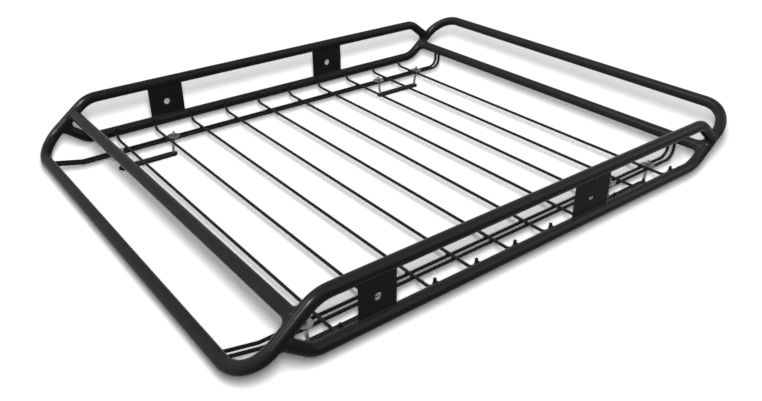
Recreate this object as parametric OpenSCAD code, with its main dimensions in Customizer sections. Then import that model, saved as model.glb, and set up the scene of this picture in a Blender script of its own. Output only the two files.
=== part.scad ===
// Roof basket: an open cargo frame of bent round tube with a floor of thin rods,
// lying on four clamps that grip the two cross bars of a roof rack.
// X runs along the basket, Y across it and Z up. Z = 0 is the level it lies on.
// The left hoop slopes down to the bottom rails' level, the right hoop slopes up
// to the top rails' level: the right end is the left end turned over.

/* [Basket] */
// Length of a side between the bends at its two ends
side_l = 1016; // [760:1:1600]
// Width, from side rail centre to side rail centre
basket_w = 1000; // [640:1:1300]
// Height, from bottom rail centre to top rail centre
side_h = 100; // [80:1:150]

/* [Frame tube] */
// Outside diameter of the frame tube
tube_d = 25; // [18:0.5:32]
// Centreline radius of the bend where a side runs into a hoop
side_bend_r = 70; // [45:1:80]
// Centreline radius of a hoop's corner
corner_r = 70; // [45:1:76]
// Centreline radius of the bend at a rail's welded end
end_bend_r = 50; // [30:1:60]
// Straight piece of hoop tube between the side's butt weld and the bend
hoop_arm = 20; // [5:1:60]
// How far a bottom rail's left end bends up beyond the left hoop's bend
bottom_end_offset = 12; // [0:0.5:14]
// How far a top rail's right end bends down beyond the right hoop's bend
top_end_offset = 3; // [0:0.5:14]

/* [End hoops] */
// Level distance from the bend to the hoop's outer tube
hoop_reach = 132.5; // [120:0.5:180]
// How far the outer tube lies beyond the level of the other rails
hoop_overrun = 3; // [0:0.5:8]
// Level distance from the left bend to the left cross tube
left_cross_reach = 37; // [36:0.5:48]
// Level distance from the right bend to the right cross tube
right_cross_reach = 41.5; // [36:0.5:48]

/* [Floor slats] */
// Number of floor slats
slat_n = 10; // [6:1:14]
// Diameter of a slat rod
slat_d = 6.5; // [5:0.1:9]
// Distance from the left bend to the first slat
slat_left = 50; // [30:1:70]
// Distance from the last slat to the right bend
slat_right = 65; // [30:1:90]
// How far the slats lie below the bottom rails' centre
slat_drop = 13; // [11:0.5:16]
// Centreline radius of a slat's upturned end
slat_bend_r = 22; // [16:1:28]
// Straight piece at the top of the upturned end
slat_tip = 4.5; // [2:0.5:12]

/* [Runner rods] */
// Diameter of a runner rod
runner_d = 7; // [6:0.1:9]
// Distance from a side rail's centre to the middle of its runner pair
runner_in = 82; // [60:1:160]
// Distance between the two rods of a pair
runner_pitch = 15; // [14.5:0.5:18]
// Level length of the ramp up to the left hoop's outer tube
runner_ramp = 75; // [50:1:85]
// Centreline radius of the bend at the foot of the ramp
runner_foot_r = 30; // [15:1:60]
// Centreline radius of the upturned right end
runner_end_r = 25; // [15:1:30]

/* [Side plates] */
// Thickness of a side plate
plate_t = 3; // [2:0.5:6]
// Diameter of the hole in a side plate
plate_hole_d = 16; // [6:0.5:24]
// How far the hole lies below mid height
plate_hole_drop = 4; // [0:0.5:8]
// Width of the near left plate
near_left_w = 77; // [50:1:120]
// Distance from the left bend to the middle of the near left plate
near_left_in = 114; // [95:1:200]
// Width of the near right plate
near_right_w = 105; // [50:1:120]
// Distance from the right bend to the middle of the near right plate
near_right_in = 367; // [300:1:380]
// Width of the far left plate
far_left_w = 91; // [50:1:120]
// Distance from the left bend to the middle of the far left plate
far_left_in = 197; // [120:1:240]
// Width of the far right plate
far_right_w = 97; // [50:1:120]
// Distance from the right bend to the middle of the far right plate
far_right_in = 320; // [280:1:360]

/* [Clamps] */
// Height of the space that takes the roof rack's cross bar
bar_room = 37; // [20:1:60]
// Thickness of a clamp bar
clamp_bar_t = 5; // [3:0.5:8]
// Width of a clamp bar
clamp_bar_w = 20; // [16:1:30]
// Diameter of the holes in a clamp bar
clamp_hole_d = 8; // [7.6:0.1:10]
// Diameter of a clamp bolt
bolt_d = 6; // [5:0.5:7]
// Angle by which the bolts lean towards the middle of the clamp
bolt_lean = 8.5; // [0:0.5:10]
// Length of bolt above its washer
bolt_top = 11; // [8:0.5:16]
// Diameter of a bolt's round head
bolt_head_d = 11; // [10:0.5:14]
// Height of a bolt's head
bolt_head_h = 4; // [3:0.5:6]
// Diameter of a washer plate
washer_d = 32; // [26:0.5:40]
// Thickness of a washer plate
washer_t = 1.5; // [1:0.1:3]
// Diameter of the hole in a washer plate
washer_hole_d = 7.2; // [7:0.1:8]
// Width of a nut across its corners
nut_w = 11.5; // [10:0.5:15]
// Height of a nut
nut_h = 5; // [4:0.5:7]
// Radial clearance of a nut around its bolt
nut_clear = 0.15; // [0.05:0.05:0.4]
// Gap between a washer plate and the slat beside it
washer_gap = 0.3; // [0.1:0.1:5]
// Distance from the left bolt of a clamp to the slat on its right
bolt_left = 26.5; // [24:0.5:40]

/* [Hidden] */
$fn = 64;
nut_sides = 6;
// A bent bar is a little fatter round its bends, and its straights run into them
bend_gain = 1.013;
bend_lap = 0.5;
frame_colour = [0.17, 0.17, 0.175];
rod_colour = [0.12, 0.12, 0.125];
plate_colour = [0.11, 0.11, 0.115];
zinc_colour = [0.5, 0.52, 0.51];

tube_r = tube_d / 2;
slat_r = slat_d / 2;
runner_r = runner_d / 2;
half_l = side_l / 2;
half_w = basket_w / 2;

// Height from the bend to a hoop's outer tube
hoop_rise = side_h + hoop_overrun;

// Slope of the hoops, and lengths measured along it
slope = atan2(hoop_rise, hoop_reach);
slope_l = norm([hoop_reach, hoop_rise]);
side_bend_l = side_bend_r * tan(slope / 2);
hoop_slope_l = slope_l - side_bend_l - corner_r;
end_bend_l = end_bend_r * tan(slope / 2);
butt_x = half_l - side_bend_l - hoop_arm;

// Heights, built up from the bolt heads that the basket lies on
head_drop = bolt_head_d * sin(bolt_lean) + bolt_head_h * cos(bolt_lean);
bar_bottom_z = head_drop;
bar_top_z = bar_bottom_z + clamp_bar_t;
runner_z = bar_top_z + bar_room + runner_r;
washer_z = runner_z + runner_r;
washer_top_z = washer_z + washer_t;
slat_z = runner_z + runner_r + slat_r;
bottom_z = slat_z + slat_drop;
top_z = bottom_z + side_h;
mid_z = (bottom_z + top_z) / 2;

// Centres of the left hoop's outer tube and of the right cross tube
outer_x = half_l + hoop_reach;
outer_z = top_z - hoop_rise;
right_cross_x = half_l + right_cross_reach;
right_cross_z = bottom_z + right_cross_reach * tan(slope);

// Slat places: each upturned end touches the inside of a bottom rail
slat_pitch = (side_l - slat_left - slat_right) / (slat_n - 1);
slat_touch = tube_r + slat_r * bend_gain + slat_bend_r;
slat_end_y = half_w + slat_bend_r - sqrt(pow(slat_touch, 2) - pow(slat_bend_r - slat_drop, 2));

// Runner places
runner_y = half_w - runner_in;
ramp_drop = outer_z - runner_z;
ramp_angle = atan2(ramp_drop, runner_ramp);
runner_foot_l = runner_foot_r * tan(ramp_angle / 2);

// Clamp places: the right bolt of each clamp stands beside a slat
left_clamp_slat = 1;
right_clamp_slat = slat_n - 1;
bolt_right = slat_r + washer_d / 2 + washer_gap;
bolt_half = (slat_pitch + bolt_right + bolt_left) / 2;
lean_x = (washer_top_z - bar_bottom_z - clamp_bar_t / 2) * tan(bolt_lean);
hole_half = bolt_half - lean_x;
nut_lift = nut_w / 2 * tan(bolt_lean);
head_lift = bolt_head_d / 2 * sin(bolt_lean);
bolt_down = (washer_top_z - bar_bottom_z + head_lift) / cos(bolt_lean);

SIDES = ["near", "far"];
ENDS = ["left", "right"];
RODS = ["outer", "inner"];
SLATS = [for (i = [1:slat_n]) str("slat_", i < 10 ? "0" : "", i)];
TUBES = ["near_top_rail", "far_top_rail", "near_bottom_rail", "far_bottom_rail",
    "left_hoop", "right_hoop", "left_cross_tube", "right_cross_tube"];
RUNNERS = [for (s = SIDES) for (r = RODS) str("runner_", s, "_", r)];
PLATES = [for (s = SIDES) for (e = ENDS) str("plate_", s, "_", e)];
CLAMPS = [for (s = SIDES) for (e = ENDS) str(s, "_", e)];

// X of a slat, counted from 0 at the left
function slat_x(i) = -half_l + slat_left + i * slat_pitch;

// X of the middle of a clamp
function clamp_x(end) =
    slat_x(end == "left" ? left_clamp_slat : right_clamp_slat) + bolt_right - bolt_half;

// -1 on the near side, 1 on the far side
function side_sign(side) = side == "near" ? -1 : 1;

// Part of a ring that starts at the origin along Z and bends towards X.
// Its seam line lies at the angle seam from X.
module bend(d, r, angle, seam) {
    translate([r, 0, 0])
        rotate([90, 0, 180])
            rotate_extrude(angle = angle)
                translate([r, 0])
                    rotate(180 - seam)
                        circle(d = d * bend_gain);
}

// A round bar that starts at the origin along Z. Each step is
// [straight length, turn about the bar's own axis, bend angle, bend radius].
// A straight piece runs a little way into the bends at its ends, and one
// seam line follows the whole bar.
module bent_bar(d, steps, i = 0, seam = 0) {
    feed = steps[i][0];
    turn = steps[i][1];
    angle = steps[i][2];
    r = steps[i][3];
    lap_before = i > 0 ? bend_lap : 0;
    lap_after = angle > 0 ? bend_lap : 0;
    translate([0, 0, -lap_before])
        rotate([0, 0, seam])
            cylinder(d = d, h = feed + lap_before + lap_after);
    if (angle > 0)
        translate([0, 0, feed])
            rotate([0, 0, turn]) {
                bend(d, r, angle, seam - turn);
                translate([r, 0, 0])
                    rotate([0, angle, 0])
                        translate([-r, 0, 0])
                            bent_bar(d, steps, i + 1, seam - turn);
            }
}

// Turns a piece of the left end over, onto the right end
module turned_over() {
    translate([0, 0, mid_z])
        rotate([0, 180, 0])
            translate([0, 0, -mid_z])
                children();
}

// The straight sloping tube of the left hoop, on one side, as a solid to cut with
module slope_space(side) {
    translate([-half_l, side_sign(side) * half_w, top_z])
        rotate([0, -90 - slope, 0])
            cylinder(d = tube_d, h = slope_l);
}

// The left hoop, one bent tube: arm, slope, outer tube, slope, arm
module hoop() {
    color(frame_colour)
        translate([-butt_x, -half_w, top_z])
            rotate([0, -90, 0])
                bent_bar(tube_d, [
                    [hoop_arm, 180, slope, side_bend_r],
                    [hoop_slope_l, -90, 90, corner_r],
                    [basket_w - 2 * corner_r, 0, 90, corner_r],
                    [hoop_slope_l, 90, slope, side_bend_r],
                    [hoop_arm, 0, 0, 0]
                ]);
}

// A rail in a bottom rail's place: butted to the right hoop, its left end bent
// up and coped to the left hoop
module rail(side, end_offset) {
    end_slope_l = (side_h / sin(slope) - end_offset / cos(slope)) / 2;
    color(frame_colour)
        difference() {
            translate([butt_x, side_sign(side) * half_w, bottom_z])
                rotate([0, -90, 0])
                    bent_bar(tube_d, [
                        [butt_x + half_l + end_offset - end_bend_l, 0, slope, end_bend_r],
                        [end_slope_l - end_bend_l, 0, 0, 0]
                    ]);
            slope_space(side);
        }
}

// The tube across the left hoop's slopes, coped at both ends
module cross_tube(reach) {
    color(frame_colour)
        difference() {
            translate([-half_l - reach, -half_w, top_z - reach * tan(slope)])
                rotate([-90, 0, 0])
                    cylinder(d = tube_d, h = basket_w);
            slope_space("near");
            slope_space("far");
        }
}

// A floor slat with both ends turned up
module slat(i) {
    color(rod_colour)
        translate([slat_x(i), -slat_end_y, slat_z + slat_bend_r + slat_tip])
            rotate([180, 0, 0])
                bent_bar(slat_d, [
                    [slat_tip, -90, 90, slat_bend_r],
                    [2 * (slat_end_y - slat_bend_r), 0, 90, slat_bend_r],
                    [slat_tip, 0, 0, 0]
                ]);
}

// A runner rod: from the left hoop's outer tube, down a ramp, along under the
// slats and straight up to the right cross tube
module runner(side, rod) {
    y = side_sign(side) * (runner_y + (rod == "outer" ? 1 : -1) * runner_pitch / 2);
    ramp_l = norm([runner_ramp, ramp_drop]);
    level_l = right_cross_x + outer_x - runner_ramp - runner_foot_l - runner_end_r;
    rise_l = right_cross_z - runner_z - runner_end_r;
    color(rod_colour)
        difference() {
            translate([-outer_x, y, outer_z])
                rotate([0, 90 + ramp_angle, 0])
                    bent_bar(runner_d, [
                        [ramp_l - runner_foot_l, 180, ramp_angle, runner_foot_r],
                        [level_l, 0, 90, runner_end_r],
                        [rise_l, 0, 0, 0]
                    ]);
            translate([-outer_x, y - runner_d, outer_z])
                rotate([-90, 0, 0])
                    cylinder(d = tube_d, h = 2 * runner_d);
            translate([right_cross_x, y - runner_d, right_cross_z])
                rotate([-90, 0, 0])
                    cylinder(d = tube_d, h = 2 * runner_d);
        }
}

// A flat plate between the two rails of a side, with one round hole
module side_plate(side, x, w) {
    y = side_sign(side) * half_w;
    color(plate_colour)
        difference() {
            translate([x - w / 2, y - plate_t / 2, bottom_z])
                cube([w, plate_t, side_h]);
            for (z = [bottom_z, top_z])
                translate([x - w, y, z])
                    rotate([0, 90, 0])
                        cylinder(d = tube_d, h = 2 * w);
            translate([x, y - plate_t, mid_z - plate_hole_drop])
                rotate([-90, 0, 0])
                    cylinder(d = plate_hole_d, h = 2 * plate_t);
        }
}

// X and width of a side plate
function plate_x(side, end) =
    end == "left" ? -half_l + (side == "near" ? near_left_in : far_left_in)
                  : half_l - (side == "near" ? near_right_in : far_right_in);
function plate_w(side, end) =
    side == "near" ? (end == "left" ? near_left_w : near_right_w)
                   : (end == "left" ? far_left_w : far_right_w);

// Moves a clamp piece to its clamp
module at_clamp(side, end) {
    translate([clamp_x(end), side_sign(side) * runner_y, 0]) children();
}

// Repeats a piece on the axes of a clamp's two bolts, leaning with them
module on_bolts() {
    for (s = [-1, 1])
        translate([s * bolt_half, 0, washer_top_z])
            rotate([0, s * bolt_lean, 0])
                children();
}

// The flat bar under the roof rack's cross bar
module clamp_bar(side, end) {
    color(rod_colour)
        at_clamp(side, end)
            translate([0, 0, bar_bottom_z])
                linear_extrude(clamp_bar_t)
                    difference() {
                        union() {
                            square([2 * hole_half, clamp_bar_w], center = true);
                            for (s = [-1, 1])
                                translate([s * hole_half, 0]) circle(d = clamp_bar_w);
                        }
                        for (s = [-1, 1])
                            translate([s * hole_half, 0]) circle(d = clamp_hole_d);
                    }
}

// Two washer plates lying across the pair of runner rods
module washers(side, end) {
    color(zinc_colour)
        at_clamp(side, end)
            for (s = [-1, 1])
                translate([s * bolt_half, 0, washer_z])
                    difference() {
                        cylinder(d = washer_d, h = washer_t);
                        translate([0, 0, -washer_t]) cylinder(d = washer_hole_d, h = 3 * washer_t);
                    }
}

// Two bolts with round heads under the clamp bar
module bolts(side, end) {
    color(zinc_colour)
        at_clamp(side, end)
            on_bolts()
                union() {
                    translate([0, 0, -bolt_down]) cylinder(d = bolt_d, h = bolt_down + bolt_top);
                    translate([0, 0, -bolt_down - bolt_head_h]) cylinder(d = bolt_head_d, h = bolt_head_h);
                }
}

// Two nuts on top of the washer plates
module nuts(side, end) {
    color(zinc_colour)
        at_clamp(side, end)
            on_bolts()
                translate([0, 0, nut_lift])
                    difference() {
                        cylinder(d = nut_w, h = nut_h, $fn = nut_sides);
                        translate([0, 0, -nut_h])
                            cylinder(d = bolt_d + 2 * nut_clear, h = 3 * nut_h);
                    }
}

turned_over() rail("near", top_end_offset);  // near_top_rail
turned_over() rail("far", top_end_offset);  // far_top_rail
rail("near", bottom_end_offset);  // near_bottom_rail
rail("far", bottom_end_offset);  // far_bottom_rail
hoop();  // left_hoop
turned_over() hoop();  // right_hoop
cross_tube(left_cross_reach);  // left_cross_tube
turned_over() cross_tube(right_cross_reach);  // right_cross_tube
for (i = [0:slat_n - 1])
    slat(i);
for (s = SIDES)
    for (r = RODS)
        runner(s, r);
for (s = SIDES)
    for (e = ENDS) {
        side_plate(s, plate_x(s, e), plate_w(s, e));
        clamp_bar(s, e);
        washers(s, e);
        bolts(s, e);
        nuts(s, e);
    }
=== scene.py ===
import math

import bmesh
import bpy
import mathutils
import numpy as np
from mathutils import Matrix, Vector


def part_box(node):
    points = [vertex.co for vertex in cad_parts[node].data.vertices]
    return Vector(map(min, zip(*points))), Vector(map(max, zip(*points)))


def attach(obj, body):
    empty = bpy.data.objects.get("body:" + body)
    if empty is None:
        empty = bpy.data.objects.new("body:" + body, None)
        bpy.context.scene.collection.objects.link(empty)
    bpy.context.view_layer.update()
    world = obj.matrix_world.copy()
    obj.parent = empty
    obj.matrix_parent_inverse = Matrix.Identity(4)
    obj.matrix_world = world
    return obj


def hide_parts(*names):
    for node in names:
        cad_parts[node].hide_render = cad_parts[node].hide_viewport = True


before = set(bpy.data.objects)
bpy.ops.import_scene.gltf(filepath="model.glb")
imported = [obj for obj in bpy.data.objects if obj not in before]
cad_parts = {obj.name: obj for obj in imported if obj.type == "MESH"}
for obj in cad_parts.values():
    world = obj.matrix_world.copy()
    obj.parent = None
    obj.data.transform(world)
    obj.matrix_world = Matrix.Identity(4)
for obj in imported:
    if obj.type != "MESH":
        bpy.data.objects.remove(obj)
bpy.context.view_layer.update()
print("frame loaded:", len(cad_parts), "nodes")

# Basket frame, in metres
basket = {
    "sideLength": 1.016,       # side rail, bend to bend
    "width": 1.000,            # between the side rails' centres
    "height": 0.100,           # between the bottom and top rails' centres
    "tube": 0.025,
    "sideBend": 0.070,         # centreline radii of the bends
    "cornerBend": 0.070,
    "endBend": 0.050,
    "hoopReach": 0.1325,       # bend to outer tube, level
    "hoopRise": 0.103,         # bend to outer tube, upright
    "hoopArm": 0.020,          # from the bend's end to the butt weld
    "bottomEndOffset": 0.012,  # how far the welded ends bend beyond the hoop's bend
    "topEndOffset": 0.003,
    "sides": 64,               # facets round a tube
    "turnStep": 3.0,           # degrees of bend from ring to ring
    "sunk": 0.0003,            # a coped end reaches this far into the tube it is welded to
}

fullTurn = 2 * math.pi
mergeGap = 2e-6                # points closer than this are one point
hair = 1e-6                    # keeps a ring clearly to one side of a height
tiny = 1e-9                    # counts as no difference


def boxOf(node):
    low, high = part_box(node)
    return np.array(low), np.array(high)


def centreOf(node):
    low, high = boxOf(node)
    return (low + high) / 2


def nodesNamed(start):
    return sorted(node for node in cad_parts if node.startswith(start))


def unit(v):
    v = np.asarray(v, float)
    return v / np.linalg.norm(v, axis=-1, keepdims=True)


tubeR = basket["tube"] / 2
halfL = basket["sideLength"] / 2
halfW = basket["width"] / 2
midZ = centreOf("plate_near_left")[2]
bottomZ = midZ - basket["height"] / 2
topZ = midZ + basket["height"] / 2
slope = math.atan2(basket["hoopRise"], basket["hoopReach"])
outerX = halfL + basket["hoopReach"]
outerZ = topZ - basket["hoopRise"]
buttX = halfL - basket["sideBend"] * math.tan(slope / 2) - basket["hoopArm"]
slopeDir = np.array([-math.cos(slope), 0.0, -math.sin(slope)])  # down the left hoop's slope
runnerTop = boxOf("washers_near_left")[0][2]
print("slope of the hoops:", round(math.degrees(slope), 2), "degrees")


# Shapes

def turnedOver(points):
    # (x, y, z) goes to (-x, y, 2 midZ - z): a piece of the left end becomes one of the right end
    return points * [-1, 1, -1] + [0, 0, 2 * midZ]


def ringFaces(rows, columns, closed):
    # quads between neighbouring rings; columns wrap round, and rows too on a closed loop
    i, j = np.meshgrid(np.arange(rows if closed else rows - 1), np.arange(columns), indexing="ij")
    below = (i + 1) % rows
    beside = (j + 1) % columns
    quads = [i * columns + j, i * columns + beside, below * columns + beside, below * columns + j]
    return np.stack(quads, -1).reshape(-1, 4)


def signedVolume(points, quads):
    # sum of (a x b) . c / 6 over the two triangles of each quad
    a, b, c, d = (points[quads[:, k]] for k in range(4))
    first = np.einsum("ij,ij->i", np.cross(a, b), c)
    second = np.einsum("ij,ij->i", np.cross(a, c), d)
    return (first.sum() + second.sum()) / 6


def makePiece(name, shells, material, replaced=(), sharpAngle=38):
    # Each shell is (rings, closed), with rings a (rows, columns, 3) grid of points. A ring that is
    # one point many times over closes an end, and is merged to a pole. An edge is drawn sharp where
    # its faces turn by more than sharpAngle degrees.
    allPoints, allQuads, count = [], [], 0
    for rings, closed in shells:
        points = rings.reshape(-1, 3)
        quads = ringFaces(rings.shape[0], rings.shape[1], closed)
        if signedVolume(points, quads) < 0:
            quads = quads[:, ::-1]
        allPoints.append(points)
        allQuads.append(quads + count)
        count += len(points)
    mesh = bpy.data.meshes.new(name)
    mesh.from_pydata(np.concatenate(allPoints).tolist(), [], np.concatenate(allQuads).tolist())
    work = bmesh.new()
    work.from_mesh(mesh)
    bmesh.ops.remove_doubles(work, verts=work.verts, dist=mergeGap)
    work.to_mesh(mesh)
    work.free()
    mesh.shade_smooth()
    mesh.set_sharp_from_angle(angle=math.radians(sharpAngle))
    mesh.materials.append(material)
    piece = bpy.data.objects.new(name, mesh)
    bpy.context.scene.collection.objects.link(piece)
    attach(piece, "root")
    if replaced:
        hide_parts(*replaced)
    return piece


def turnsRound(sides):
    # equal turns from 0, the last one step short of a full turn
    return np.arange(sides) * fullTurn / sides


def quarterTurn(rings):
    # equal turns from 0 to 90 degrees, both among them
    return np.linspace(0, math.pi / 2, rings)


def lengthAlong(points):
    # distance of each point from the first, along the path
    steps = np.linalg.norm(np.diff(points, axis=0), axis=-1)
    return np.concatenate([[0], np.cumsum(steps)])


def straightPath(start, end, step):
    # start (1 - s) + end s, with s in equal steps
    count = max(2, math.ceil(np.linalg.norm(np.subtract(end, start)) / step)) + 1
    s = np.linspace(0, 1, count)[:, None]
    points = np.asarray(start) * (1 - s) + np.asarray(end) * s
    return points, np.broadcast_to(unit(np.subtract(end, start)), points.shape)


def roundedPath(corners, radii, turnStep):
    # Straight runs from corner to corner, and at each corner an arc that touches both runs:
    # start + r sin(a) d + r (1 - cos(a)) n, with d the run's direction and n the side it turns to.
    corners = np.asarray(corners, float)
    runs = unit(np.diff(corners, axis=0))
    points, tangents = [corners[:1]], [runs[:1]]
    for corner, before, after, r in zip(corners[1:-1], runs[:-1], runs[1:], radii):
        turn = math.acos(np.clip(before @ after, -1, 1))
        a = np.linspace(0, turn, max(2, math.ceil(math.degrees(turn) / turnStep)) + 1)[:, None]
        n = unit(after - before * (before @ after))
        start = corner - before * r * math.tan(turn / 2)
        points.append(start + r * np.sin(a) * before + r * (1 - np.cos(a)) * n)
        tangents.append(np.cos(a) * before + np.sin(a) * n)
    points.append(corners[-1:])
    tangents.append(runs[-1:])
    return np.concatenate(points), np.concatenate(tangents)


def carry(path, reference, outline):
    # side = reference x tangent, up = tangent x side, and
    # point (i, j) = path_i + side_i * outline_ij.x + up_i * outline_ij.y
    points, tangents = path
    side = unit(np.cross(reference, tangents))
    up = np.cross(tangents, side)
    outline = np.broadcast_to(outline, (len(points),) + outline.shape[-2:])
    return points[:, None] + side[:, None] * outline[..., :1] + up[:, None] * outline[..., 1:]


def roundOutline(radius, sides):
    # radius * (cos, sin) of equal turns
    a = turnsRound(sides)
    return radius * np.stack([np.cos(a), np.sin(a)], -1)


def capped(rings):
    # the last ring closed by a pole at its middle
    return np.concatenate([rings, np.broadcast_to(rings[-1].mean(0), rings[-1].shape)[None]])


def reachCylinder(points, direction, axisPoint, axisDir, radius):
    # the distance along direction at which each line first meets the cylinder: the smaller root of
    # |(p + s d - a) without its part along the axis| = radius
    rel = points - axisPoint
    rel = rel - (rel @ axisDir)[:, None] * axisDir
    d = direction - (direction @ axisDir) * axisDir
    b = rel @ d / (d @ d)
    c = ((rel * rel).sum(-1) - radius ** 2) / (d @ d)
    return -b - np.sqrt(np.maximum(b * b - c, 0))


def cope(rings, direction, axisPoint, axisDir, radius):
    # The last ring slides along the tube onto the cylinder that it is welded to. Returns the rings,
    # with a pole inside that cylinder, and the curve where the two surfaces meet.
    axisDir = unit(axisDir)
    reach = reachCylinder(rings[-1], direction, axisPoint, axisDir, radius)
    curve = rings[-1] + reach[:, None] * direction
    last = curve + basket["sunk"] * direction
    return capped(np.concatenate([rings[:-1], last[None]])), curve


def filletWeld(curve, branchDir, branchPoint, axisPoint, axisDir, radius, legs, columns=10):
    # A fillet along the closed curve where a branch tube meets a main tube. On the main tube's
    # unrolled surface the foot lies outside the curve, pushed away from the footprint's middle; on
    # the branch it lies back along the tube. The skin between them is
    # (1 - t)^2 branch foot + 2 t (1 - t) middle + t^2 main foot, and its middle is the point where
    # the tubes meet, raised a little, with the ripple of the weld pool along it.
    axisDir = unit(axisDir)
    rel = curve - axisPoint
    along = rel @ axisDir
    radial = unit(rel - along[:, None] * axisDir)
    facing = unit(-(branchDir - (branchDir @ axisDir) * axisDir))
    other = np.cross(axisDir, facing)
    turn = np.arctan2(radial @ other, radial @ facing)
    centre = (along.max() + along.min()) / 2
    flat = np.stack([along - centre, turn * radius], -1)
    tilt = 1 + legs["tilt"] * (flat[:, 0] / np.abs(flat[:, 0]).max())
    flat = flat * (1 + legs["main"] * tilt / np.linalg.norm(flat, axis=-1))[:, None]
    newTurn = flat[:, 1] / radius
    newRadial = np.cos(newTurn)[:, None] * facing + np.sin(newTurn)[:, None] * other
    footMain = axisPoint + (flat[:, :1] + centre) * axisDir + (radius - legs["sink"]) * newRadial
    branchRel = curve - branchPoint
    branchRadial = unit(branchRel - (branchRel @ branchDir)[:, None] * branchDir)
    footBranch = curve - (legs["branch"] * tilt)[:, None] * branchDir - legs["sink"] * branchRadial
    outward = unit(radial + branchRadial)
    # openness is 0 where the tubes meet square, and 1 where they run flush
    openness = (radial * branchRadial).sum(-1)
    arc = lengthAlong(curve)
    waves = round(arc[-1] / legs["pitch"])
    ripple = legs["ripple"] * (np.abs(np.sin(math.pi * waves * arc / arc[-1])) - 0.5)
    raised = legs["raise"] + legs["flush"] * np.clip(openness, 0, 1) ** 2 + ripple
    middle = curve + raised[:, None] * outward
    t = np.linspace(0, 1, columns)[None, :, None]
    skin = (1 - t) ** 2 * footBranch[:, None] + 2 * t * (1 - t) * middle[:, None]
    skin = skin + t ** 2 * footMain[:, None]
    core = curve - legs["core"] * outward
    return np.concatenate([skin, core[:, None]], 1), True


def bead(path, reference, halfWidth, halfHeight, pitch, ripple, blunt=8, columns=12):
    # An elliptic outline carried along a path; it swells at each ripple and tapers to both ends:
    # size = (1 - (2 s - 1)^blunt)^(1/2) (1 + ripple |sin(pi length / pitch)|), with s from 0 to 1
    arc = lengthAlong(path[0])
    taper = np.sqrt(np.maximum(1 - (2 * arc / arc[-1] - 1) ** blunt, 0))
    size = taper * (1 + ripple * np.abs(np.sin(math.pi * arc / pitch)))
    outline = roundOutline(1.0, columns) * [halfWidth, halfHeight]
    return carry(path, reference, outline[None] * size[:, None, None]), False


def drop(centre, halfSizes, rows=9, columns=14):
    # an ellipsoid: centre + half sizes * (sin v cos u, sin v sin u, cos v)
    v = np.linspace(0, math.pi, rows)[:, None, None]
    u = turnsRound(columns)[None, :, None]
    ball = np.concatenate([np.sin(v) * np.cos(u), np.sin(v) * np.sin(u), np.cos(v) + 0 * u], -1)
    return np.asarray(centre) + ball * halfSizes, False


# Materials

def nodeGroup(name, inputs, outputs):
    group = bpy.data.node_groups.new(name, "ShaderNodeTree")
    for label, kind in inputs.items():
        group.interface.new_socket(name=label, in_out="INPUT", socket_type=kind)
    for label, kind in outputs.items():
        group.interface.new_socket(name=label, in_out="OUTPUT", socket_type=kind)
    given, result = group.nodes.new("NodeGroupInput"), group.nodes.new("NodeGroupOutput")
    return group, given.outputs, result.inputs


def addNode(tree, kind, inputs=None, **settings):
    node = tree.nodes.new(kind)
    for key, value in settings.items():
        setattr(node, key, value)
    for key, value in (inputs or {}).items():
        if isinstance(value, bpy.types.NodeSocket):
            tree.links.new(value, node.inputs[key])
        else:
            node.inputs[key].default_value = value
    return node


def mathNode(tree, operation, first, second):
    return addNode(tree, "ShaderNodeMath", {0: first, 1: second}, operation=operation).outputs[0]


def noise(tree, at, scale, detail, roughness):
    inputs = {"Vector": at, "Scale": scale, "Detail": detail, "Roughness": roughness}
    return addNode(tree, "ShaderNodeTexNoise", inputs).outputs["Fac"]


surfaceOutputs = {
    "Colour": "NodeSocketColor", "Roughness": "NodeSocketFloat", "Height": "NodeSocketFloat",
}
coatDetail = {
    "peelDetail": 1.5, "peelRoughness": 0.45,
    "poresToPeel": 2.7, "poreDepth": 0.25,   # pores to a peel cell, and their share of the height
    "driftScale": 14.0, "driftDetail": 3.0, "driftRoughness": 0.6,
    "roughSwing": 0.22,                      # how far the drift moves the roughness
}
platingDetail = {
    "cloudScale": 240.0, "cloudDetail": 4.0, "cloudRoughness": 0.6,
    "blue": (0.86, 0.93, 1.0, 1), "blueUpTo": 0.35,
    "straw": (1.0, 0.95, 0.82, 1), "strawFrom": 0.65,
    "grainScale": 1900.0, "grainDetail": 2.0, "grainRoughness": 0.5,
    "roughSwing": 0.5,
}


def buildCoatGroup():
    # powder coat: the orange peel of the melted powder, fine pores and a slow drift in tone
    look = coatDetail
    group, given, result = nodeGroup("powderCoat", {
        "Position": "NodeSocketVector", "Colour": "NodeSocketColor", "Peel size": "NodeSocketFloat",
        "Tone drift": "NodeSocketFloat", "Roughness": "NodeSocketFloat",
    }, surfaceOutputs)
    at = given["Position"]
    scale = mathNode(group, "DIVIDE", 1.0, given["Peel size"])
    peel = noise(group, at, scale, look["peelDetail"], look["peelRoughness"])
    poreScale = mathNode(group, "MULTIPLY", scale, look["poresToPeel"])
    pores = addNode(group, "ShaderNodeTexVoronoi", {"Vector": at, "Scale": poreScale})
    drift = noise(group, at, look["driftScale"], look["driftDetail"], look["driftRoughness"])
    centred = mathNode(group, "SUBTRACT", drift, 0.5)
    swing = mathNode(group, "MULTIPLY", centred, given["Tone drift"])
    value = mathNode(group, "ADD", swing, 1.0)
    hue = addNode(group, "ShaderNodeHueSaturation", {"Value": value, "Color": given["Colour"]})
    group.links.new(hue.outputs["Color"], result["Colour"])
    rough = mathNode(group, "MULTIPLY", centred, look["roughSwing"])
    group.links.new(mathNode(group, "ADD", rough, given["Roughness"]), result["Roughness"])
    poreDepth = mathNode(group, "MULTIPLY", pores.outputs["Distance"], look["poreDepth"])
    group.links.new(mathNode(group, "ADD", peel, poreDepth), result["Height"])
    return group


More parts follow.
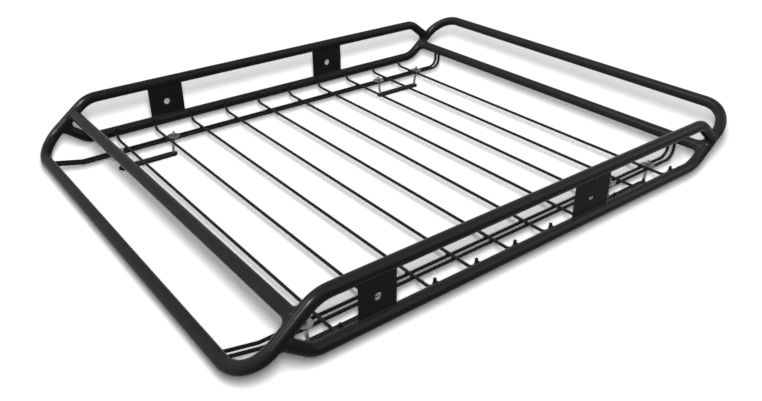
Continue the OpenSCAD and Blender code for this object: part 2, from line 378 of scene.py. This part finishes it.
def buildPlatingGroup():
    # zinc plating: cloudy grey, a faint bloom between blue and straw, and a fine grain
    look = platingDetail
    group, given, result = nodeGroup("zincPlating", {
        "Position": "NodeSocketVector", "Colour": "NodeSocketColor", "Bloom": "NodeSocketFloat",
        "Roughness": "NodeSocketFloat",
    }, surfaceOutputs)
    at = given["Position"]
    clouds = noise(group, at, look["cloudScale"], look["cloudDetail"], look["cloudRoughness"])
    tint = addNode(group, "ShaderNodeValToRGB", {"Fac": clouds})
    blueEnd, strawEnd = tint.color_ramp.elements
    blueEnd.position, blueEnd.color = look["blueUpTo"], look["blue"]
    strawEnd.position, strawEnd.color = look["strawFrom"], look["straw"]
    bloom = addNode(group, "ShaderNodeMix", data_type="RGBA", blend_type="MULTIPLY")
    group.links.new(given["Bloom"], bloom.inputs["Factor"])
    group.links.new(given["Colour"], bloom.inputs["A"])
    group.links.new(tint.outputs["Color"], bloom.inputs["B"])
    group.links.new(bloom.outputs["Result"], result["Colour"])
    grain = noise(group, at, look["grainScale"], look["grainDetail"], look["grainRoughness"])
    centred = mathNode(group, "SUBTRACT", clouds, 0.5)
    patch = mathNode(group, "MULTIPLY", centred, look["roughSwing"])
    group.links.new(mathNode(group, "ADD", patch, given["Roughness"]), result["Roughness"])
    group.links.new(grain, result["Height"])
    return group


coatGroup = buildCoatGroup()
platingGroup = buildPlatingGroup()


def effectMaterial(name, group, values, bumpDepth, metallic, specular):
    material = bpy.data.materials.new(name)
    material.use_nodes = True
    tree = material.node_tree
    shader = tree.nodes["Principled BSDF"]
    shader.inputs["Metallic"].default_value = metallic
    shader.inputs["Specular IOR Level"].default_value = specular
    place = addNode(tree, "ShaderNodeTexCoord")
    effect = addNode(tree, "ShaderNodeGroup", node_tree=group)
    tree.links.new(place.outputs["Object"], effect.inputs["Position"])
    for key, value in values.items():
        effect.inputs[key].default_value = value
    height = {"Strength": 1.0, "Distance": bumpDepth, "Height": effect.outputs["Height"]}
    bump = addNode(tree, "ShaderNodeBump", height)
    tree.links.new(effect.outputs["Colour"], shader.inputs["Base Color"])
    tree.links.new(effect.outputs["Roughness"], shader.inputs["Roughness"])
    tree.links.new(bump.outputs["Normal"], shader.inputs["Normal"])
    return material


frameCoat = effectMaterial("frameCoat", coatGroup, {
    "Colour": (0.0195, 0.0197, 0.0200, 1),
    "Peel size": 0.0016, "Tone drift": 0.22, "Roughness": 0.25,
}, bumpDepth=0.00006, metallic=0.0, specular=0.03)
rodCoat = effectMaterial("rodCoat", coatGroup, {
    "Colour": (0.012, 0.012, 0.0124, 1),
    "Peel size": 0.0011, "Tone drift": 0.20, "Roughness": 0.40,
}, bumpDepth=0.00005, metallic=0.0, specular=0.03)
plateCoat = effectMaterial("plateCoat", coatGroup, {
    "Colour": (0.010, 0.010, 0.0105, 1),
    "Peel size": 0.0013, "Tone drift": 0.12, "Roughness": 0.58,
}, bumpDepth=0.00005, metallic=0.0, specular=0.04)
boltZinc = effectMaterial("boltZinc", platingGroup, {
    "Colour": (0.17, 0.175, 0.168, 1),
    "Bloom": 0.35, "Roughness": 0.42,
}, bumpDepth=0.00001, metallic=1.0, specular=0.5)
washerZinc = effectMaterial("washerZinc", platingGroup, {
    "Colour": (0.19, 0.198, 0.193, 1),
    "Bloom": 0.25, "Roughness": 0.50,
}, bumpDepth=0.00001, metallic=1.0, specular=0.5)
print("materials made")


# Frame tubes

acrossDir = np.array([0.0, 1.0, 0.0])
lengthDir = np.array([1.0, 0.0, 0.0])
upright = np.array([0.0, 0.0, 1.0])
sideNames = {-1: "near", 1: "far"}
slopePoint = {side: np.array([-halfL, side * halfW, topZ]) for side in sideNames}  # on the left
tubeOutline = roundOutline(tubeR, basket["sides"])

# The feet of a fillet reach main and branch metres over the two tubes, and are longer by the share
# tilt towards the foot of the left slope. Its skin is raised from the line where the tubes meet,
# with flush added where they run flush; its edges lie sink deep, and its unseen back core deep.
tubeSkin = {"raise": 0.0004, "sink": 0.00008, "core": 0.00064, "pitch": 0.0045, "ripple": 0.0003}
crossWeld = {"main": 0.0150, "branch": 0.0165, "tilt": 0.08, "flush": 0.0022, **tubeSkin}
railWeld = {"main": 0.0095, "branch": 0.0115, "tilt": -0.40, "flush": 0.0012, **tubeSkin}


def hoopRings():
    # arm, slope, outer tube, slope, arm
    corners = [(-buttX, -halfW, topZ), (-halfL, -halfW, topZ), (-outerX, -halfW, outerZ),
               (-outerX, halfW, outerZ), (-halfL, halfW, topZ), (-buttX, halfW, topZ)]
    bends = [basket["sideBend"], basket["cornerBend"], basket["cornerBend"], basket["sideBend"]]
    path = roundedPath(corners, bends, basket["turnStep"])
    rings = carry(path, upright, tubeOutline)
    return capped(capped(rings)[::-1])


def railRings(side, endOffset):
    # A rail in a bottom rail's place, from the butt weld to its bent-up end, coped onto the left
    # slope. The end rises as steeply as the slope falls, so their centrelines meet where
    # rise = height - (end offset * tan slope + rise).
    bendX = -halfL - endOffset
    rise = (basket["height"] - endOffset * math.tan(slope)) / 2
    corners = [(buttX, side * halfW, bottomZ), (bendX, side * halfW, bottomZ),
               (bendX - rise / math.tan(slope), side * halfW, bottomZ + rise)]
    path = roundedPath(corners, [basket["endBend"]], basket["turnStep"])
    rings = capped(carry(path, upright, tubeOutline)[::-1])[::-1]
    endDir = path[1][-1]
    mainTube = (slopePoint[side], slopeDir, tubeR)
    rings, curve = cope(rings, endDir, *mainTube)
    return rings, filletWeld(curve, endDir, path[0][-1], *mainTube, railWeld)


def crossRings(reach):
    # the tube across the left slopes, coped at both ends
    x, z = -halfL - reach, topZ - reach * math.tan(slope)
    path = straightPath((x, -halfW, z), (x, halfW, z), basket["width"])
    rings = carry(path, upright, tubeOutline)
    welds = []
    for side in (1, -1):
        endDir = side * acrossDir
        mainTube = (slopePoint[side], slopeDir, tubeR)
        rings, curve = cope(rings, endDir, *mainTube)
        welds.append(filletWeld(curve, endDir, np.array([x, 0, z]), *mainTube, crossWeld))
        rings = rings[::-1]
    return rings, welds


buttWeld = {
    "halfWidth": 0.0022, "height": 0.0006, "sunk": 0.0003,
    "ripple": 0.0001, "ripples": 17, "rings": 102, "sides": 10,
}


def buttBead(side):
    # A ground-down ring of weld round the joint between a hoop's arm and its rail: a flat ellipse
    # carried round the tube, whose height swings with the ripples.
    a = turnsRound(buttWeld["rings"])[:, None]
    v = turnsRound(buttWeld["sides"])[None, :]
    height = buttWeld["height"] + buttWeld["ripple"] * np.sin(a * buttWeld["ripples"])
    out = tubeR - buttWeld["sunk"] + height * np.sin(v)
    x = -buttX + buttWeld["halfWidth"] * np.cos(v) + 0 * out
    return np.stack([x, side * halfW + out * np.cos(a), topZ + out * np.sin(a)], -1), True


def makeTube(rings, node, ending="_tube"):
    makePiece(node + ending, [(rings, False)], frameCoat, [node])


def weldsTurnedOver(welds):
    return [(turnedOver(rings), closed) for rings, closed in welds]


tubeWelds = []
leftHoop = hoopRings()
makeTube(leftHoop, "left_hoop")
makeTube(turnedOver(leftHoop), "right_hoop")
for side, name in sideNames.items():
    rings, weld = railRings(side, basket["bottomEndOffset"])
    makeTube(rings, name + "_bottom_rail")
    tubeWelds.append(weld)
    rings, weld = railRings(side, basket["topEndOffset"])
    makeTube(turnedOver(rings), name + "_top_rail")
    tubeWelds += weldsTurnedOver([weld])
    tubeWelds.append(buttBead(side))
    tubeWelds += weldsTurnedOver([buttBead(side)])
leftReach = -halfL - centreOf("left_cross_tube")[0]
rightReach = centreOf("right_cross_tube")[0] - halfL
rings, welds = crossRings(leftReach)
makeTube(rings, "left_cross_tube", "_coped")
tubeWelds += welds
rings, welds = crossRings(rightReach)
makeTube(turnedOver(rings), "right_cross_tube", "_coped")
tubeWelds += weldsTurnedOver(welds)
makePiece("tube_welds", tubeWelds, frameCoat)
print("frame tubes and their welds made")


# Floor slats

slat = {
    "diameter": 0.0065, "bend": 0.022, "tip": 0.0045, "sides": 20, "turnStep": 7.0,
    "drop": 0.013,           # below the bottom rails' centre
    "edge": 0.0006,          # rounding of the cut end
    "edgeRings": 4,
}
tipWeld = {
    "width": 0.0024, "height": 0.0024, "pitch": 0.0030, "ripple": 0.12, "blunt": 2, "points": 17,
    "reach": 30.0,           # degrees round the rail to each side of where the rod touches it
    "clear": 0.2,            # share of the height by which its middle stands off the rail
    "aside": 0.85,           # share of the rod's radius by which it lies beside the rod's centre
}
slatR = slat["diameter"] / 2
slatZ = runnerTop + slatR
slatNodes = nodesNamed("slat_")
slatTouch = tubeR + slatR + slat["bend"]
slatEndY = halfW + slat["bend"] - math.sqrt(slatTouch ** 2 - (slat["bend"] - slat["drop"]) ** 2)


def rodRings(path, reference, radius, sides, edge, edgeRings):
    # A round rod along the path, its two cut ends rounded off by a quarter turn: at
    # edge * (1 - sin a) from the end, the radius is radius - edge * (1 - cos a).
    points, tangents = path
    a = quarterTurn(edgeRings + 1)[:0:-1]
    inset = edge * (1 - np.sin(a))[:, None]
    rounded = radius - edge * (1 - np.cos(a))
    starts = [points[0] + inset * tangents[0], [points[0] + edge * tangents[0]]]
    ends = [[points[-1] - edge * tangents[-1]], (points[-1] - inset * tangents[-1])[::-1]]
    firsts = np.repeat(tangents[:1], len(a), 0)
    lasts = np.repeat(tangents[-1:], len(a), 0)
    radii = np.concatenate([rounded, np.full(len(points), radius), rounded[::-1]])
    path = np.concatenate([*starts, points[1:-1], *ends]), np.concatenate([firsts, tangents, lasts])
    rings = carry(path, reference, roundOutline(1.0, sides)[None] * radii[:, None, None])
    return capped(capped(rings)[::-1])


def slatRings(x):
    # upturned end, level run across the basket, upturned end
    top = slatZ + slat["bend"] + slat["tip"]
    corners = [(x, -slatEndY, top), (x, -slatEndY, slatZ), (x, slatEndY, slatZ), (x, slatEndY, top)]
    path = roundedPath(corners, [slat["bend"]] * 2, slat["turnStep"])
    return rodRings(path, lengthDir, slatR, slat["sides"], slat["edge"], slat["edgeRings"])


def tipBeads(x, side):
    # A bead on each flank of the upturned end, in the valley between it and the rail. It follows
    # the rail's round to both sides of the point where the rod's bend touches it.
    touch = math.asin((slat["bend"] - slat["drop"]) / slatTouch)
    reach = math.radians(tipWeld["reach"])
    turns = np.linspace(touch - reach, touch + reach, tipWeld["points"])
    out = tubeR + tipWeld["height"] * tipWeld["clear"]
    y = side * (halfW - out * np.cos(turns))
    z = bottomZ + out * np.sin(turns)
    tangents = unit(np.stack([0 * y, side * np.sin(turns), np.cos(turns)], -1))
    found = []
    for flank in (-1, 1):
        points = np.stack([np.full_like(y, x + flank * slatR * tipWeld["aside"]), y, z], -1)
        found.append(bead((points, tangents), lengthDir, tipWeld["height"], tipWeld["width"],
                          tipWeld["pitch"], tipWeld["ripple"], tipWeld["blunt"]))
    return found


slatWelds = []
for node in slatNodes:
    x = centreOf(node)[0]
    makePiece(node + "_rod", [(slatRings(x), False)], rodCoat, [node])
    for side in (-1, 1):
        slatWelds += tipBeads(x, side)
makePiece("slat_end_welds", slatWelds, rodCoat)
print("floor slats made:", len(slatNodes))


# Runner rods

runner = {
    "diameter": 0.007, "ramp": 0.075, "footBend": 0.030, "endBend": 0.025,
    "sides": 22, "turnStep": 6.0,
}
rodWeld = {
    "main": 0.0026, "branch": 0.0028, "tilt": 0.0, "flush": 0.0004, "columns": 7,
    "raise": 0.0004, "sink": 0.00005, "core": 0.0004, "pitch": 0.0030, "ripple": 0.0003,
}
dab = {"aside": 0.9, "lift": 0.0002, "halfSizes": (0.0027, 0.0030, 0.0019)}  # where a slat crosses
runnerR = runner["diameter"] / 2
runnerZ = runnerTop - runnerR
runnerNodes = nodesNamed("runner_")


def runnerRings(y):
    # outer tube, ramp, level run, upright end into the right cross tube
    crossPoint = np.array([halfL + rightReach, y, bottomZ + rightReach * math.tan(slope)])
    outerPoint = np.array([-outerX, y, outerZ])
    corners = [outerPoint, (-outerX + runner["ramp"], y, runnerZ),
               (crossPoint[0], y, runnerZ), crossPoint]
    path = roundedPath(corners, [runner["footBend"], runner["endBend"]], runner["turnStep"])
    rings = carry(path, acrossDir, roundOutline(runnerR, runner["sides"]))
    welds = []
    for point, endDir in ((crossPoint, unit(path[1][-1])), (outerPoint, -unit(path[1][0]))):
        mainTube = (point, acrossDir, tubeR)
        rings, curve = cope(rings, endDir, *mainTube)
        welds.append(filletWeld(curve, endDir, point, *mainTube, rodWeld, rodWeld["columns"]))
        rings = rings[::-1]
    return rings, welds


def dabsOn(y):
    # a dab on each flank of each slat
    found = []
    for node in slatNodes:
        for flank in (-1, 1):
            x = centreOf(node)[0] + flank * slatR * dab["aside"]
            found.append(drop((x, y, runnerTop + dab["lift"]), dab["halfSizes"]))
    return found


rodWelds = []
for node in runnerNodes:
    y = centreOf(node)[1]
    rings, welds = runnerRings(y)
    makePiece(node + "_rod", [(rings, False)], rodCoat, [node])
    rodWelds += welds + dabsOn(y)
makePiece("rod_welds", rodWelds, rodCoat)
print("runner rods made:", len(runnerNodes))


# Side plates

plate = {
    "hole": 0.016, "holeDrop": 0.004,
    "edge": 0.0005, "support": 0.0003, "intoRail": 0.0002,
    "edgeRings": 4, "raysPerSide": 24,
}
plateWeld = {
    "radius": 0.0021, "endGap": 0.0015, "pitch": 0.0048, "ripple": 0.20, "ringsPerRipple": 6,
}
plateNodes = nodesNamed("plate_")


def awayFromZero(values):
    # the values, with tiny in place of those too small to divide by
    return np.where(np.abs(values) < tiny, tiny, values)


def plateRings(low, high):
    # Rays leave the hole's middle in all directions: each meets the hole's rim and the plate's
    # outline. The closed section along a ray goes out over the front face, round the edge and back
    # over the rear.
    middle = np.array([(low[0] + high[0]) / 2, (low[1] + high[1]) / 2, midZ - plate["holeDrop"]])
    left, right = low[0] - middle[0], high[0] - middle[0]
    down, up = low[2] - plate["intoRail"] - middle[2], high[2] + plate["intoRail"] - middle[2]
    cornerTurns = [math.atan2(up, right), math.atan2(up, left), math.atan2(down, left) + fullTurn,
                   math.atan2(down, right) + fullTurn, math.atan2(up, right) + fullTurn]
    turns = np.concatenate([np.linspace(a, b, plate["raysPerSide"], endpoint=False)
                            for a, b in zip(cornerTurns, cornerTurns[1:])])
    c, s = np.cos(turns), np.sin(turns)
    reachX = np.where(c > 0, right, left) / awayFromZero(c)
    reachZ = np.where(s > 0, up, down) / awayFromZero(s)
    reach = np.minimum(np.abs(reachX), np.abs(reachZ))
    edge, support = plate["edge"], plate["support"]
    halfT = (high[1] - low[1]) / 2
    arc = quarterTurn(plate["edgeRings"])
    # each section point: (0 at the rim or 1 at the outline, distance from there, y)
    rim = [(0, edge - edge * math.cos(a), -halfT + edge - edge * math.sin(a)) for a in arc]
    outer = [(1, -edge + edge * math.sin(a), -halfT + edge - edge * math.cos(a)) for a in arc]
    front = rim + [(0, edge + support, -halfT), (1, -edge - support, -halfT)] + outer
    section = np.array(front + [(end, inset, -y) for end, inset, y in front[::-1]])
    starts = np.where(section[None, :, 0] == 0, plate["hole"] / 2, reach[:, None])
    along = starts + section[None, :, 1]
    x = middle[0] + along * c[:, None]
    z = middle[2] + along * s[:, None]
    y = middle[1] + section[None, :, 2] + 0 * x
    return np.stack([x, y, z], -1), True


def plateBeads(low, high):
    # a bead along each of the four corners between the plate's faces and the two rails
    radius, pitch = plateWeld["radius"], plateWeld["pitch"]
    found = []
    for y in (low[1], high[1]):
        for z in (low[2], high[2]):
            start = (low[0] + plateWeld["endGap"], y, z)
            end = (high[0] - plateWeld["endGap"], y, z)
            path = straightPath(start, end, pitch / plateWeld["ringsPerRipple"])
            found.append(bead(path, upright, radius, radius, pitch, plateWeld["ripple"]))
    return found


plateWelds = []
for node in plateNodes:
    low, high = boxOf(node)
    makePiece(node + "_sheet", [plateRings(low, high)], plateCoat, [node])
    plateWelds += plateBeads(low, high)
makePiece("plate_welds", plateWelds, frameCoat)
print("side plates made:", len(plateNodes))


# Clamps

washer = {"diameter": 0.032, "hole": 0.0072, "edge": 0.0004, "edgeRings": 4, "sides": 64}
bolt = {
    "lean": 8.5,                                    # degrees, towards the middle of the clamp
    "diameter": 0.006, "top": 0.011, "sides": 48,   # top: above the washer
    "threaded": 0.036, "pitch": 0.001, "threadDepth": 0.00058, "ringsPerPitch": 6,
    "fadeIn": 0.002,                                # length over which the thread deepens
    "plainTip": 0.9,                                # pitches without thread at the tip
    "tipEdge": (0.0003, 0.0002),                    # inwards, and down the shank
    "root": (0.0004, 0.0003),                       # outwards, and up the shank
    "head": 0.011, "headHeight": 0.004, "headEdge": 0.0003, "domeRings": 6,
    "dome": 0.62,                                   # share of the head's height
    "flatFace": 0.62,                               # share of the head's radius
    "socket": 0.0046, "socketDepth": 0.0022,        # across the flats
    "socketRim": 1.15,                              # share of the socket's half width
}
nut = {
    "corners": 0.0115, "height": 0.0042, "bore": 0.0063, "boreEdge": 0.0004, "sides": 72,
    "face": 0.97, "edge": 0.0001,                   # face: share of the half width across the flats
    "cut": 0.0007, "cutSlope": 2.0, "cutRings": 5,  # the cone that takes off the corners
    "collar": 0.0016, "collarReach": 0.93, "collarLift": 0.0003, "collarRings": 6,
}
lean = math.radians(bolt["lean"])
hexFlat = math.cos(math.pi / 6)  # half the width across a hexagon's flats, with its corners at 1


def hexShape(turns):
    # distance from the middle to a hexagon's side, with its corners at 1
    part = np.mod(turns, math.pi / 3) - math.pi / 6
    return hexFlat / np.cos(part)


def lathe(rows, sides, shape=None):
    # rows of (radius, height) become (r cos a, r sin a, h); shape(a, h, r) may change the radius
    rows = np.asarray(rows, float)
    turns = turnsRound(sides)
    radius = np.repeat(rows[:, :1], sides, 1)
    height = np.repeat(rows[:, 1:2], sides, 1)
    if shape is not None:
        radius = shape(turns[None, :], rows[:, 1:2], radius)
    return np.stack([radius * np.cos(turns), radius * np.sin(turns), height], -1)


def leaning(rings, x, y, z, end):
    # turned about Y by the bolt's lean, then moved to the middle of its washer's top
    c, s = math.cos(end * lean), math.sin(end * lean)
    turnedX = rings[..., 0] * c + rings[..., 2] * s
    turnedZ = rings[..., 2] * c - rings[..., 0] * s
    return np.stack([turnedX, rings[..., 1], turnedZ], -1) + [x, y, z]


def washerRings(x, y, low, high):
    # a flat ring: its closed section is a rectangle with rounded corners
    edge = washer["edge"]
    inner, outer = washer["hole"] / 2, washer["diameter"] / 2
    rows = []
    for r, z, start in ((outer - edge, high - edge, 0), (inner + edge, high - edge, 1),
                        (inner + edge, low + edge, 2), (outer - edge, low + edge, 3)):
        turn = quarterTurn(washer["edgeRings"]) + start * math.pi / 2
        rows += list(zip(r + edge * np.cos(turn), z + edge * np.sin(turn)))
        if start in (0, 2):
            inward = edge if start == 0 else -edge
            rows.append((r - inward, rows[-1][1]))
            rows.append(((inner if start == 0 else outer) + 2 * inward, rows[-1][1]))
    return lathe(rows, washer["sides"]) + [x, y, 0], True


def boltRings(down):
    # socket, round head, shank, thread and chamfered end, from below; the thread's radius is
    # r - depth * (1 - |2 frac(height / pitch - turns) - 1|), a V that climbs one pitch a turn
    r, headR, socketR = bolt["diameter"] / 2, bolt["head"] / 2, bolt["socket"] / 2
    top, pitch, headEdge = bolt["top"], bolt["pitch"], bolt["headEdge"]
    foot = -down - bolt["headHeight"]
    socketTop = foot + bolt["socketDepth"]
    flatR = headR * bolt["flatFace"]
    domeR = headR * (1 - bolt["flatFace"])
    dome = bolt["headHeight"] * bolt["dome"]
    rows = [(0, socketTop), (socketR, socketTop), (socketR, foot)]
    rows.append((socketR * bolt["socketRim"], foot))
    rows += [(flatR + domeR * math.sin(t), foot + dome * (1 - math.cos(t)))
             for t in quarterTurn(bolt["domeRings"])]
    rows += [(headR, -down - headEdge), (headR - headEdge, -down)]
    rows += [(r + bolt["root"][0], -down), (r, -down + bolt["root"][1])]
    threadStart = top - bolt["threaded"]
    rows.append((r, threadStart))
    steps = int(round(bolt["threaded"] / pitch * bolt["ringsPerPitch"]))
    rows += [(r, h) for h in np.linspace(threadStart, top - pitch, steps)]
    tipR = r - bolt["threadDepth"]
    rows += [(tipR, top - bolt["tipEdge"][1]), (tipR - bolt["tipEdge"][0], top), (0, top)]

    def shape(turns, h, radius):
        wave = np.abs(2 * np.mod(h / pitch - turns / fullTurn, 1) - 1)
        inThread = (h > threadStart + hair) & (h < top - pitch * bolt["plainTip"])
        depth = bolt["threadDepth"] * np.clip((h - threadStart) / bolt["fadeIn"], 0, 1)
        radius = np.where(inThread, radius - depth * (1 - wave), radius)
        hexed = (np.abs(radius - socketR) < tiny) & (h < socketTop + hair)
        return np.where(hexed, radius * hexShape(turns) / hexFlat, radius)

    return lathe(rows, bolt["sides"], shape)


def nutRings():
    # A hexagon whose corners are cut by a cone above and below, with a round collar on top:
    # radius = min(hexagon, cone at that height)
    corner, bore, cut = nut["corners"] / 2, nut["bore"] / 2, nut["cut"]
    tall, collar, lift = nut["height"], nut["collar"], nut["collarLift"]
    flat = corner * hexFlat
    faceR, collarR = flat * nut["face"], flat * nut["collarReach"]
    rows = [(bore + nut["boreEdge"], 0), (faceR, 0), (flat, nut["edge"])]
    rows += [(corner, h) for h in np.linspace(2 * nut["edge"], cut, nut["cutRings"])]
    rows += [(corner, h) for h in np.linspace(tall - cut, tall - 2 * nut["edge"], nut["cutRings"])]
    rows += [(faceR, tall), (collarR, tall + nut["edge"])]
    rows += [(collarR - collar * (1 - math.cos(a)), tall + lift + collar * math.sin(a))
             for a in quarterTurn(nut["collarRings"])]
    rows += [(bore + lift, tall + collar + lift), (bore, tall + collar), (bore, nut["boreEdge"])]

    def shape(turns, h, radius):
        cone = flat + np.minimum(h, tall - h) * nut["cutSlope"]
        hexed = np.abs(radius - corner) < tiny
        return np.where(hexed, np.minimum(corner * hexShape(turns), cone), radius)

    return lathe(rows, nut["sides"], shape)


clampNames = [side + "_" + end for side in ("near", "far") for end in ("left", "right")]
nutLift = nut["corners"] / 2 * math.tan(lean)   # a leaning nut or head rests on one corner
headLift = bolt["head"] / 2 * math.sin(lean)
zincPieces = []
for name in clampNames:
    low, high = boxOf("washers_" + name)
    barLow = boxOf("clamp_bar_" + name)[0]
    clampX, clampY = (low[0] + high[0]) / 2, (low[1] + high[1]) / 2
    boltHalf = (high[0] - low[0]) / 2 - washer["diameter"] / 2
    boltDown = (high[2] - barLow[2] + headLift) / math.cos(lean)
    washerShells, boltShells, nutShells = [], [], []
    for end in (-1, 1):
        x = clampX + end * boltHalf
        washerShells.append(washerRings(x, clampY, low[2], high[2]))
        boltShells.append((leaning(boltRings(boltDown), x, clampY, high[2], end), False))
        nutShells.append((leaning(nutRings() + [0, 0, nutLift], x, clampY, high[2], end), True))
    washers, bolts, nuts = "washers_" + name, "bolts_" + name, "nuts_" + name
    zincPieces += [
        makePiece(washers + "_zinc", washerShells, washerZinc, [washers]),
        makePiece(bolts + "_threaded", boltShells, boltZinc, [bolts]),
        makePiece(nuts + "_collared", nutShells, boltZinc, [nuts], sharpAngle=25),
    ]
    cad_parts["clamp_bar_" + name].material_slots[0].material = plateCoat
print("clamps made:", len(clampNames))


# Floor, lights and camera

# A level is what a white sheet that faces the light reads; glint and sheen are seen as gloss alone.
stage = {
    "floorSize": 14.0,
    "floorWhite": 1.07, "floorBounce": 0.15,       # as seen, and as it lights the basket
    "ambient": 0.045,
    "keyLevel": 0.32, "keyRadius": 0.06,
    "keyAbove": (0.03, 0.11, 0.19, 0.27),          # lamps right above the lens
    "topLevel": 1.05, "topFrom": (-0.55, 0.35, 0.76), "topAngle": 24.0,
    "glintLevel": 5.0, "glintFrom": (-0.46, -0.36, 0.81), "glintAngle": 14.0,  # on the left slopes
    "sheenLevel": 0.85, "sheenFrom": (0.60, -0.60, 0.53), "sheenAngle": 56.0,  # on the near rails
}
camera = {
    "place": (-0.9785, -1.2629, 0.8303), "yaw": 37.793, "pitch": 29.255, "roll": -0.110,
    "lens": 35.12, "sensor": 36.0,
}


def rayMask(tree):
    # 1 for rays from the camera, and for those in mirrors and glass
    path = addNode(tree, "ShaderNodeLightPath")
    seen = mathNode(tree, "MAXIMUM", path.outputs["Is Camera Ray"], path.outputs["Is Glossy Ray"])
    return mathNode(tree, "MAXIMUM", seen, path.outputs["Is Transmission Ray"])


def makeWorld():
    # white where it is seen, dim where it lights the basket
    world = bpy.data.worlds.new("studio")
    world.use_nodes = True
    tree = world.node_tree
    tree.nodes.clear()
    paper = {"Color": (1, 1, 1, 1)}
    dim = addNode(tree, "ShaderNodeBackground", {**paper, "Strength": stage["ambient"]})
    white = addNode(tree, "ShaderNodeBackground", {**paper, "Strength": 1.0})
    mixed = {0: rayMask(tree), 1: dim.outputs[0], 2: white.outputs[0]}
    mix = addNode(tree, "ShaderNodeMixShader", mixed)
    addNode(tree, "ShaderNodeOutputWorld", {"Surface": mix.outputs[0]})
    bpy.context.scene.world = world


def makeFloor(lampPlace):
    # The lamps meet the floor at a slant that grows with distance, and its shade makes up for it:
    # shade = white / (key level * lamp height / distance from the lamps + ambient level)
    half = stage["floorSize"] / 2
    corners = [(-half, -half, 0), (half, -half, 0), (half, half, 0), (-half, half, 0)]
    mesh = bpy.data.meshes.new("floor")
    mesh.from_pydata(corners, [], [(0, 1, 2, 3)])
    floor = bpy.data.objects.new("floor", mesh)
    bpy.context.scene.collection.objects.link(floor)
    material = bpy.data.materials.new("paperWhite")
    material.use_nodes = True
    tree = material.node_tree
    tree.nodes.clear()
    place = addNode(tree, "ShaderNodeTexCoord").outputs["Object"]
    reach = addNode(tree, "ShaderNodeVectorMath", {0: place, 1: lampPlace}, operation="DISTANCE")
    slant = mathNode(tree, "DIVIDE", stage["keyLevel"] * lampPlace[2], reach.outputs["Value"])
    lit = mathNode(tree, "ADD", slant, stage["ambient"])
    shade = mathNode(tree, "DIVIDE", stage["floorWhite"], lit)
    seen = addNode(tree, "ShaderNodeBsdfDiffuse", {"Color": shade})
    bounce = addNode(tree, "ShaderNodeBsdfDiffuse", {"Color": (stage["floorBounce"],) * 3 + (1,)})
    mixed = {0: rayMask(tree), 1: bounce.outputs[0], 2: seen.outputs[0]}
    mix = addNode(tree, "ShaderNodeMixShader", mixed)
    addNode(tree, "ShaderNodeOutputMaterial", {"Surface": mix.outputs[0]})
    mesh.materials.append(material)
    return floor


def addKeys(eye):
    # A column of soft lamps above the lens, each as bright far off as close by, so that a shadow
    # starts under its bar and fades away from it. A lamp of energy 4 pi^2 with constant falloff
    # makes a white sheet read 1. Returns the middle of the column.
    upwards = eye.rotation_euler.to_matrix().col[1]
    for above in stage["keyAbove"]:
        lamp = bpy.data.lights.new("keyLamp", "POINT")
        lamp.energy = stage["keyLevel"] / len(stage["keyAbove"]) * 4 * math.pi ** 2
        lamp.shadow_soft_size = stage["keyRadius"]
        lamp.use_nodes = True
        tree = lamp.node_tree
        falloff = addNode(tree, "ShaderNodeLightFalloff", {"Strength": 1.0})
        tree.links.new(falloff.outputs["Constant"], tree.nodes["Emission"].inputs["Strength"])
        key = bpy.data.objects.new("keyLamp", lamp)
        key.location = eye.location + upwards * above
        bpy.context.scene.collection.objects.link(key)
    return eye.location + upwards * float(np.mean(stage["keyAbove"]))


def addSun(name, unlit, glossAlone):
    # Even light from one side without shadows, which leaves out the unlit objects. A sun of energy
    # pi makes a white sheet read 1.
    lamp = bpy.data.lights.new(name + "Sun", "SUN")
    lamp.energy = stage[name + "Level"] * math.pi
    lamp.angle = math.radians(stage[name + "Angle"])
    lamp.use_shadow = False
    sun = bpy.data.objects.new(name + "Sun", lamp)
    sun.rotation_euler = mathutils.Vector(stage[name + "From"]).to_track_quat("Z", "Y").to_euler()
    sun.visible_diffuse = not glossAlone
    bpy.context.scene.collection.objects.link(sun)
    leftOut = bpy.data.collections.new(name + "LeftOut")
    for thing in unlit:
        leftOut.objects.link(thing)
    for entry in leftOut.collection_objects:
        entry.light_linking.link_state = "EXCLUDE"
    sun.light_linking.receiver_collection = leftOut


def makeCamera():
    data = bpy.data.cameras.new("camera")
    data.lens = camera["lens"]
    data.sensor_width = camera["sensor"]
    eye = bpy.data.objects.new("camera", data)
    eye.location = camera["place"]
    turn = mathutils.Matrix.Rotation(-math.radians(camera["yaw"]), 3, "Z")
    turn = turn @ mathutils.Matrix.Rotation(math.radians(90 - camera["pitch"]), 3, "X")
    turn = turn @ mathutils.Matrix.Rotation(math.radians(camera["roll"]), 3, "Z")
    eye.rotation_euler = turn.to_euler()
    bpy.context.scene.collection.objects.link(eye)
    bpy.context.scene.camera = eye
    return eye


makeWorld()
floor = makeFloor(addKeys(makeCamera()))
addSun("top", [floor], False)
addSun("glint", [floor] + zincPieces, True)
addSun("sheen", [floor] + zincPieces, True)
bpy.context.scene.view_settings.view_transform = "Standard"
print("floor, lights and camera made")
